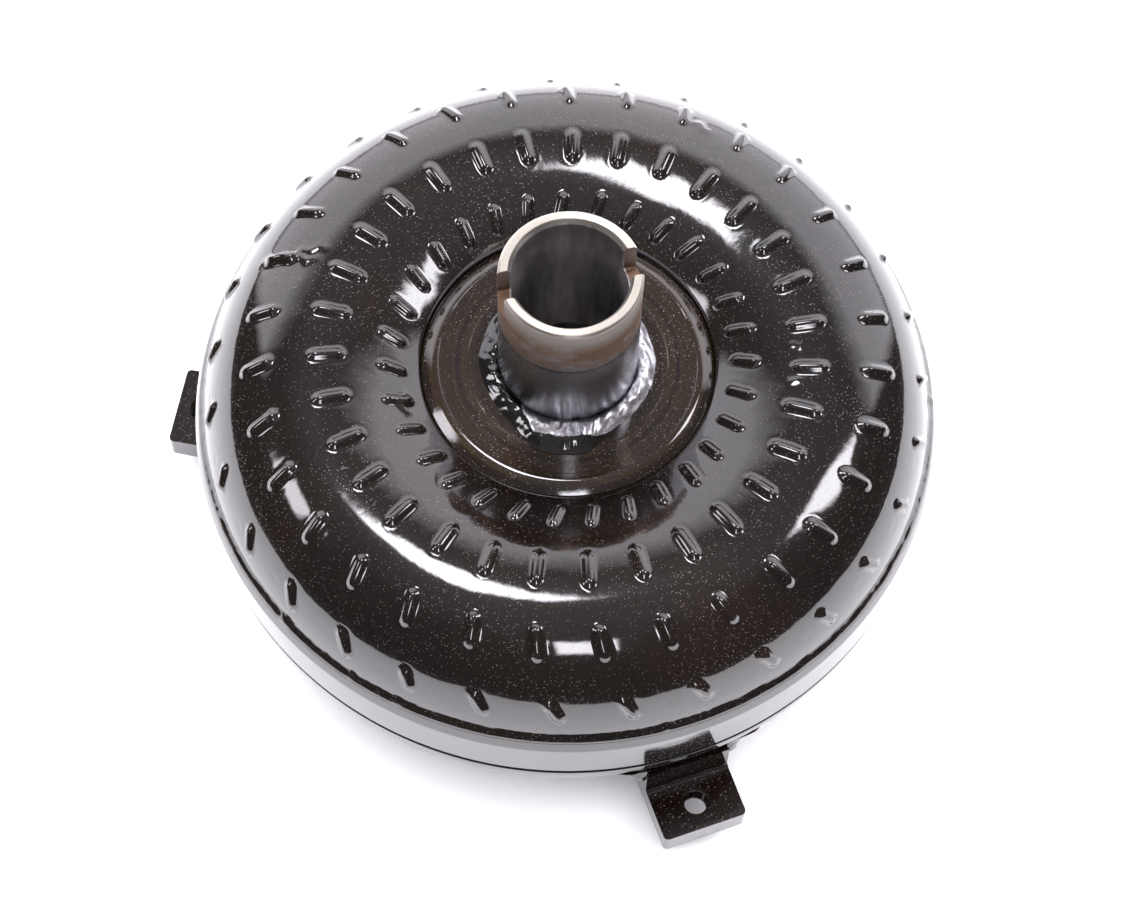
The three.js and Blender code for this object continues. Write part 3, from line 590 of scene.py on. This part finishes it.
# ---------------------------------------------------------------- front cover
def cover_outside():
    """The cover's outer line with rounded bends, from the dish to the top of the rim."""
    slope = math.tan(math.radians(90 - CONE_ANGLE))
    tangent = math.tan(math.radians(CONE_ANGLE / 2))
    cone_top = SHOULDER_Z - SHOULDER * tangent
    return [
        (DISH_R, DISH_Z, 4),
        (DISH_R + 8, FACE_Z, 5),
        (SHOULDER_R - (cone_top - FACE_Z) / slope, FACE_Z, CORNER),
        (SHOULDER_R, cone_top, SHOULDER),
        (SHOULDER_R, RIM_FOOT - 3.2, 0.3),
        (SHOULDER_R - 1.4, RIM_FOOT - 1.6, 0.3),
        (SHOULDER_R - 1.4, RIM_FOOT - 0.6, 0.2),
        (RIM_R, RIM_FOOT, 0.4),
        (RIM_R, RIM_TOP - 4.2, 3.2),
        (RIM_R - 1.3, RIM_TOP, 0.4),
    ]


def build_cover():
    rim_inner = TORUS_R + PUMP_OUT + 0.3
    ledge = rim_inner - PUMP_WALL - 0.3
    corners = [(SPIGOT_R + 0.3, DISH_Z, 0.3)] + cover_outside()
    corners += [
        (rim_inner, RIM_TOP - 0.3, 0.1),
        (rim_inner, SKIRT_Z - 0.3, 0.3),
        (ledge, SKIRT_Z - 0.3, 0.5),
        (ledge, 48.5, 17),
        (FACE_R + 5.9, FACE_Z + COVER_WALL, 10),
        (DISH_R + 7, FACE_Z + COVER_WALL, 4),
        (DISH_R - 1, DISH_Z + COVER_WALL, 4),
        (SPIGOT_R + 0.3, DISH_Z + COVER_WALL, 0.3),
    ]
    cover = turned("front_cover_smooth", rounded(corners, 10), 256)
    return place(cover, "housing", "black_paint", RIM_PAINT, "front_cover")


def build_closure_weld():
    """An uneven fillet between the cover's rim and the pump shell, with runs of paint over it."""
    section = ((127.9, 79.0, 0), (128.95, 79.4, 0), (129.0, 80.0, 0.15), (128.55, 80.7, 0.5),
               (127.95, 81.35, 0.7),
               (127.35, 82.0, 0.7), (126.85, 82.75, 0.5), (126.3, 83.6, 0.2), (125.6, 83.4, 0))
    drips = ((-157.4, 1.1, 1.0), (-143.9, 0.5, 0.8), (-135.9, 0.6, 0.9), (-95, 0.5, 0.6), (-20, 0.7, 0.7))
    columns = 900
    rows = []
    for r, z, lumpy in section:
        row = []
        for j in range(columns):
            turn = 360 * j / columns
            a = math.radians(turn)
            slow = noise.noise(Vector((14 * math.cos(a), 14 * math.sin(a), z / 9)))
            quick = noise.noise(Vector((70 * math.cos(a), 70 * math.sin(a), z / 3)))
            swell = lumpy * (0.3 * slow + 0.22 * quick)
            for place_at, half, high in drips:
                swell += lumpy * high * math.exp(-(((turn - place_at + 180) % 360 - 180) / half) ** 2)
            row.append(((r + swell) * math.cos(a), (r + swell) * math.sin(a), z + 0.4 * swell))
        rows.append(row)
    faces = grid_faces(len(rows), columns, True, True)
    bead = mesh_object("closure_weld_bead", np.array(rows).reshape(-1, 3), faces, 60)
    return place(bead, "housing", "black_paint", BLACK_PAINT, "closure_weld")


# ---------------------------------------------------------------- lugs
def cover_line_beside_lug():
    """The cover's outer line behind a lug's upright, from low to high, with a hair of clearance."""
    line = rounded([(DISH_R - 10, DISH_Z, 0)] + cover_outside(), 6)
    return [(r + 0.12, z - 0.12) for r, z in line if 24 < z < LUG_RISE]


def build_lug(number, turn):
    half = LUG_WIDTH / 2
    corner = 1.8
    foot_corners = [
        (LUG_INNER, -half, corner),
        (LUG_OUTER, -half, corner),
        (LUG_OUTER, half, corner),
        (LUG_INNER, half, corner),
    ]
    foot = extruded(f"lug_{number}", rounded(foot_corners, 6), LUG_FOOT, LUG_TOP)
    bend = 2.0
    upright = [(LUG_INNER + 0.5, LUG_FOOT + 1), (LUG_FACE + bend, LUG_FOOT + 1)]
    upright += arc(LUG_FACE + bend, LUG_TOP + bend, bend, bend, 270, 180, 7)
    behind = cover_line_beside_lug()
    upright += [(LUG_FACE, LUG_RISE), (behind[-1][0] + 0.2, LUG_RISE)] + behind[::-1]
    upright += [(LUG_INNER + 0.5, behind[0][1] - 1)]
    block = extruded(f"upright_{number}", upright, -half, half)
    turn_mesh(block, 90, "X")
    combine(foot, "UNION", block)
    lip = 0.9
    hole = rounded([
        (0, LUG_FOOT - 1, 0), (BOLT_HOLE_R + lip + 0.5, LUG_FOOT - 1, 0), (BOLT_HOLE_R, LUG_FOOT + lip, 0),
        (BOLT_HOLE_R, LUG_TOP - lip, 0), (BOLT_HOLE_R + lip + 0.5, LUG_TOP + 0.5, 0), (0, LUG_TOP + 0.5, 0),
    ])
    drill = turned(f"drill_{number}", hole, 48)
    drill.data.transform(Matrix.Translation((BOLT_R * MM, 0, 0)))
    combine(foot, "DIFFERENCE", drill)
    eased(foot, 0.5, 3, 40)
    turn_mesh(foot, turn)
    foot.name = f"mounting_lug_{number}_eased"
    place(foot, "housing", "black_paint", BLACK_PAINT, f"mounting_lug_{number}")
    build_thread(number, turn)
    for side in (-1, 1):
        build_lug_weld(number, turn, side)


def build_thread(number, turn):
    """The tapped hole's thread, as fine ridges round its wall."""
    pitch, depth = 1.06, 0.32
    outline = []
    turns = int((LUG_TOP - LUG_FOOT - 2.2) / pitch)
    for i in range(turns):
        z = LUG_FOOT + 1.1 + i * pitch
        outline += [(BOLT_HOLE_R - 0.02, z), (BOLT_HOLE_R - depth, z + pitch / 2)]
    top = LUG_FOOT + 1.1 + turns * pitch
    outline += [(BOLT_HOLE_R - 0.02, top), (BOLT_HOLE_R + 0.3, top), (BOLT_HOLE_R + 0.3, LUG_FOOT + 1.1)]
    thread = turned(f"lug_thread_{number}", outline, 40, 25)
    thread.data.transform(Matrix.Translation((BOLT_R * MM, 0, 0)))
    turn_mesh(thread, turn)
    place(thread, "housing", "black_paint", BLACK_PAINT)


def build_lug_weld(number, turn, side):
    """A lumpy fillet weld in the corner between a lug's upright and the cover, widest under the rim."""
    seed = 10 * number + side
    levels, across = 30, 15
    low_reach = 2.2
    outline = np.array(rounded([(DISH_R - 10, DISH_Z, 0)] + cover_outside(), 6))
    rise = outline[outline[:, 1] > FACE_Z + 1.5]
    verts = []
    for i in range(levels):
        share = i / (levels - 1)
        z = LUG_WELD_LOW + share * (LUG_WELD_HIGH - LUG_WELD_LOW)
        cover_r = float(np.interp(z, rise[:, 1], rise[:, 0]))
        reach = low_reach + (LUG_WELD_WIDTH - low_reach) * share ** 0.9
        reach += 1.2 * noise.noise(Vector((seed, z / 4, 0)))
        y_far = LUG_WIDTH / 2 + reach
        x_face = min(LUG_FACE - 0.6, cover_r + 7.5 - 4 * share)
        x_far = math.sqrt(cover_r ** 2 - y_far ** 2)
        x_near = math.sqrt(cover_r ** 2 - (LUG_WIDTH / 2) ** 2)
        thinning = float(np.clip(1 - (z - LUG_RISE) / 7, 0.15, 1))
        x_face = x_near + (x_face - x_near) * thinning
        for j in range(across):
            s = j / (across - 1)
            x = x_face + (x_far - x_face) * s ** 1.5
            y = LUG_WIDTH / 2 - 0.4 + (reach + 0.4) * s
            swell = math.sin(math.pi * min(1, s * 1.02)) ** 0.8
            lump = noise.noise(Vector((seed * 3.1, z / 4.5, y / 5)))
            ripple = 0.16 * math.sin(z * 2.1 + 2.2 * s + 1.5 * lump)
            puff = swell * (0.5 + 0.5 * thinning) * (1.3 + 1.0 * lump + ripple)
            verts.append((x + puff, side * (y + 0.5 * puff), z + 0.4 * lump * swell))
        verts.append((x_far - 2.5, side * y_far, z))
        verts.append((x_near - 3, side * (LUG_WIDTH / 2 - 1.5), z))
    columns = across + 2
    faces = grid_faces(levels, columns, False, True)
    faces += [tuple(range(columns)), tuple(range((levels - 1) * columns, levels * columns))]
    letter = "a" if side < 0 else "b"
    bead = mesh_object(f"lug_weld_{number}{letter}_bead", verts, faces, 50)
    turn_mesh(bead, turn)
    place(bead, "housing", "black_paint", BLACK_PAINT, f"lug_weld_{number}{letter}")


# ---------------------------------------------------------------- hub, flange, weld, pilot
def build_flange():
    edge = [(HUB_R + 0.3, FLANGE_FOOT, 0.2), (FLANGE_R, FLANGE_FOOT, 0.4)]
    edge += [(FLANGE_R, FLANGE_TOP - 2.4, 0.9), (FLANGE_R - 4.4, FLANGE_TOP, 4)]
    steps = [(44.6, FLANGE_TOP, 0.1), (44.2, FLANGE_TOP - 0.25, 0.1), (34.5, FLANGE_TOP - 0.32, 0.1)]
    steps += [(34.2, FLANGE_TOP - 0.1, 0.1), (HUB_R + 0.3, FLANGE_TOP - 0.1, 0.2)]
    flange = turned("hub_flange_turned", rounded(edge + steps, 6), 256)
    return place(flange, "housing", "black_paint", RING_PAINT, "hub_flange")


def build_hub():
    """A long tube with chamfered ends and two drive slots across its open end."""
    outline = rounded([
        (HUB_BORE_R, FLANGE_FOOT, 0.4), (HUB_R, FLANGE_FOOT, 0.4), (HUB_R, HUB_TOP - 0.9, 0.3),
        (HUB_R - 0.9, HUB_TOP, 0.3), (HUB_BORE_R + 1.2, HUB_TOP, 0.3), (HUB_BORE_R, HUB_TOP - 1.9, 0.3),
    ], 3)
    hub = turned("pump_hub_slotted", outline, 160, 25)
    corner = 1.2
    half = SLOT_WIDTH / 2
    slot = rounded([
        (-half, HUB_TOP - SLOT_DEPTH, corner), (half, HUB_TOP - SLOT_DEPTH, corner),
        (half, HUB_TOP + 5, 0), (-half, HUB_TOP + 5, 0),
    ], 4)
    cutter = extruded("slot_cutter", slot, -2 * HUB_R, 2 * HUB_R)
    turn_mesh(turn_mesh(cutter, 90, "X"), 90 + SLOT_TURN)
    combine(hub, "DIFFERENCE", cutter)
    eased(hub, 0.3, 2, 50)
    return place(hub, "housing", "turned_steel", HUB_STEEL, "pump_hub")


def build_hub_weld():
    """A bright weld bead of smooth, slanting runs round the hub, with a thicker lump on one side."""
    columns, across = 640, 16
    lump_turn, lump_half = -114, 24
    rows = []
    for i in range(across):
        s = i / (across - 1)
        row = []
        for j in range(columns):
            turn = 360 * j / columns
            a = math.radians(turn)
            away = abs((turn - lump_turn + 180) % 360 - 180)
            lump = math.exp(-((away / lump_half) ** 4))
            wave = noise.noise(Vector((2.4 * math.cos(a), 2.4 * math.sin(a), 1.7)))
            lean = a + 0.16 * s
            run = noise.noise(Vector((7 * math.cos(lean), 7 * math.sin(lean), 2.5 * s)))
            fine = noise.noise(Vector((26 * math.cos(lean), 26 * math.sin(lean), 5 * s)))
            width = 6.2 + 1.0 * wave + 6.0 * lump
            r = HUB_R + 0.1 + width * s
            hump = math.sin(math.pi * s ** 0.8)
            ripple = (0.07 + 0.7 * lump * s) * fine
            swell = hump * (1.1 + 0.5 * lump + 0.6 * run + ripple)
            top = (1.9 + 0.6 * lump) * (1 - s) ** 1.2 + swell
            row.append((r * math.cos(a), r * math.sin(a), FLANGE_TOP + 0.05 + max(0, top)))
        rows.append(row)
    for r in (HUB_R + 5, HUB_R + 0.1):
        angles = np.radians(np.arange(columns) * 360 / columns)
        rows.append([(r * math.cos(a), r * math.sin(a), FLANGE_TOP - 0.6) for a in angles])
    faces = grid_faces(len(rows), columns, True, True)
    bead = mesh_object("hub_weld_bead", np.array(rows).reshape(-1, 3), faces, 60)
    return place(bead, "housing", "weld_steel", HUB_WELD, "hub_weld")


def build_pilot():
    nose = rounded([
        (0, 0, 0), (PILOT_R, 0, 1.8), (PILOT_R, PILOT_TOP, 0.2), (SPIGOT_R, PILOT_TOP, 0.2),
        (SPIGOT_R, DISH_Z + COVER_WALL, 0.5), (0, DISH_Z + COVER_WALL, 0),
    ], 6)
    pilot = turned("crank_pilot_nose", nose, 128)
    place(pilot, "housing", "turned_steel", PILOT_STEEL, "crank_pilot")
    columns, across = 300, 9
    rows = []
    for i in range(across):
        s = i / (across - 1)
        row = []
        for j in range(columns):
            a = 2 * math.pi * j / columns
            wave = noise.noise(Vector((6 * math.cos(a), 6 * math.sin(a), 9.0)))
            scallop = abs(math.sin(a * 30 + 2 * wave))
            swell = 0.7 * math.sin(math.pi * s) * (0.7 + 0.3 * scallop + 0.3 * wave)
            r = PILOT_R + 0.15 + 4.2 * s + swell
            row.append((r * math.cos(a), r * math.sin(a), 12.8 + 3.9 * s - 0.6 * swell))
        rows.append(row)
    angles = np.radians(np.arange(columns) * 360 / columns)
    back_r = PILOT_R + 0.15
    rows.append([(back_r * math.cos(a), back_r * math.sin(a), PILOT_TOP + 0.05) for a in angles])
    faces = grid_faces(len(rows), columns, True, True)
    bead = mesh_object("pilot_weld_bead", np.array(rows).reshape(-1, 3), faces, 60)
    return place(bead, "housing", "weld_steel", PILOT_WELD, "pilot_weld")


# ---------------------------------------------------------------- parts inside keep their CAD shape
def finish_inner_nodes():
    finishes = {
        "pressed_steel": PRESSED_STEEL,
        "hard_steel": HARD_STEEL,
        "cast_aluminium": ALUMINIUM,
        "bronze": BRONZE,
    }
    slots = {row["node"]: row["material_slot"] for row in frame["record"]["subparts"]}
    for name, node in frame["nodes"].items():
        if not node.hide_render:
            node.data.materials.clear()
            node.data.materials.append(finishes.get(slots[name], BLACK_PAINT))


# ---------------------------------------------------------------- stage, lights and camera
def direction(azimuth, elevation):
    """A unit vector; azimuth 0 is +X, counted anticlockwise."""
    a, e = math.radians(azimuth), math.radians(elevation)
    return Vector((math.cos(a) * math.cos(e), math.sin(a) * math.cos(e), math.sin(e)))


def sky_panel(nodes, sky, azimuth, elevation, half_wide, half_high, blur, radiance):
    """A soft-edged bright rectangle on the sky, laid over what is there."""
    centre = direction(azimuth, elevation)
    right = Vector((0, 0, 1)).cross(centre).normalized()
    up = centre.cross(right)
    look = nodes.add("ShaderNodeTexCoord").outputs["Generated"]

    def along(axis):
        dot = nodes.add("ShaderNodeVectorMath", operation="DOT_PRODUCT")
        nodes.link(look, dot.inputs[0])
        dot.inputs[1].default_value = axis
        return dot.outputs["Value"]

    ahead = nodes.maths("MAXIMUM", along(centre), 0.001)
    mask = nodes.maths("GREATER_THAN", along(centre), 0.01)
    for axis, half in ((right, half_wide), (up, half_high)):
        offset = nodes.maths("ABSOLUTE", nodes.maths("DIVIDE", along(axis), ahead))
        limit = math.tan(math.radians(half))
        edge = nodes.maths("DIVIDE", nodes.maths("SUBTRACT", limit, offset), math.radians(blur), clamp=True)
        mask = nodes.maths("MULTIPLY", mask, edge)
    return nodes.mixed(mask, sky, radiance)


# The studio's panels: degrees from straight behind the part, elevation, half width, half height,
# blur at the edge, and radiance.
PANELS = (
    (-3, 24, 57, 35, 14, 2.4),
    (-76, 50, 8, 10, 3, 13),
    (90, 38, 8, 8, 3, 9),
    (-173, 50, 7, 7, 3, 13),
    (30, 76, 8, 8, 3, 21),
)
PANEL_WHITE = (1.0, 0.97, 1.04)


def build_world():
    """A dim surround, a large pale panel behind, and a soft box on each side, in front and above."""
    world = bpy.data.worlds.new("studio")
    bpy.context.scene.world = world
    world.use_nodes = True
    nodes = Nodes(world.node_tree)
    look = nodes.add("ShaderNodeTexCoord").outputs["Generated"]
    split = nodes.add("ShaderNodeSeparateXYZ")
    nodes.link(look, split.inputs[0])
    dim, middle, top = (0.13, 0.12, 0.12), (0.22, 0.2, 0.2), (0.44, 0.41, 0.43)
    sky = nodes.ramp(split.outputs[2], (0.0, dim), (0.75, middle), (0.97, top))
    for turn, *shape, radiance in PANELS:
        colour = tuple(radiance * channel for channel in PANEL_WHITE)
        sky = sky_panel(nodes, sky, 90 + CAMERA_AZIMUTH + turn, *shape, colour)
    shade = nodes.add("ShaderNodeBackground")
    nodes.link(sky, shade.inputs[0])
    pale = nodes.add("ShaderNodeBackground")
    pale.inputs[0].default_value = (1.0, 1.0, 1.0, 1)
    pale.inputs[1].default_value = 1.05
    seen = nodes.add("ShaderNodeLightPath").outputs["Is Camera Ray"]
    pick = nodes.add("ShaderNodeMixShader")
    nodes.link(seen, pick.inputs[0])
    nodes.link(shade.outputs[0], pick.inputs[1])
    nodes.link(pale.outputs[0], pick.inputs[2])
    output = nodes.add("ShaderNodeOutputWorld")
    nodes.link(pick.outputs[0], output.inputs[0])


def build_overhead():
    """One very large soft light over the part; the panels alone make the reflections."""
    lamp = bpy.data.lights.new("overhead_fill", "AREA")
    lamp.shape = "SQUARE"
    lamp.size = 3.2
    lamp.energy = 180
    lamp.color = (0.965, 0.955, 1.0)
    holder = bpy.data.objects.new("overhead_fill", lamp)
    towards = direction(90 + CAMERA_AZIMUTH, 82)
    holder.location = Vector((0, 0, 0.09)) + 1.9 * towards
    holder.rotation_euler = (-towards).to_track_quat("-Z", "Y").to_euler()
    holder.visible_camera = False
    holder.visible_glossy = False
    bpy.context.scene.collection.objects.link(holder)


def build_floor():
    """A plain pale floor."""
    material, nodes, shader = new_material("pale_floor")
    here, _round_here, _radius, _height, _turn = nodes.cylindrical()
    tone = nodes.ramp(nodes.noise(here, 3, 3), (0.3, (0.86, 0.86, 0.865)), (0.7, (0.89, 0.89, 0.895)))
    nodes.link(tone, shader.inputs["Base Color"])
    shader.inputs["Roughness"].default_value = 0.7
    far = FLOOR_HALF
    corners = [(-far, -far, 0), (far, -far, 0), (far, far, 0), (-far, far, 0)]
    floor = mesh_object("plain_floor", corners, [(0, 1, 2, 3)])
    floor.data.materials.append(material)
    floor.location.z = -0.0002


def build_camera():
    """The photograph's view: 63.6 degrees up, with a slight roll."""
    elevation, roll = math.radians(63.572), math.radians(1.883)
    distance, toward_shade, down = 0.93837, 0.001833, 0.030422
    turn = Matrix.Rotation(math.radians(CAMERA_AZIMUTH), 3, "Z")
    back = turn @ Vector((0, -math.cos(elevation), math.sin(elevation)))
    level = turn @ Vector((1, 0, 0))
    upright = back.cross(level)
    right = level * math.cos(roll) + upright * math.sin(roll)
    up = upright * math.cos(roll) - level * math.sin(roll)
    camera = bpy.data.cameras.new("camera")
    camera.sensor_width = 36
    camera.lens = 87.73
    camera.clip_end = 50
    holder = bpy.data.objects.new("camera", camera)
    eye = Vector((0, 0, FLANGE_TOP * MM)) + back * distance - right * toward_shade - up * down
    frame_axes = Matrix((right, up, back)).transposed().to_4x4()
    holder.matrix_world = Matrix.Translation(eye) @ frame_axes
    bpy.context.scene.collection.objects.link(holder)
    bpy.context.scene.camera = holder


build_camera()
build_world()
build_floor()
build_overhead()
bpy.context.scene.view_settings.view_transform = "Standard"

build_pump_shell()
build_cover()
build_closure_weld()
for lug_number, lug_turn in enumerate(LUG_TURNS, start=1):
    build_lug(lug_number, lug_turn)
build_flange()
build_hub()
build_hub_weld()
build_pilot()
finish_inner_nodes()
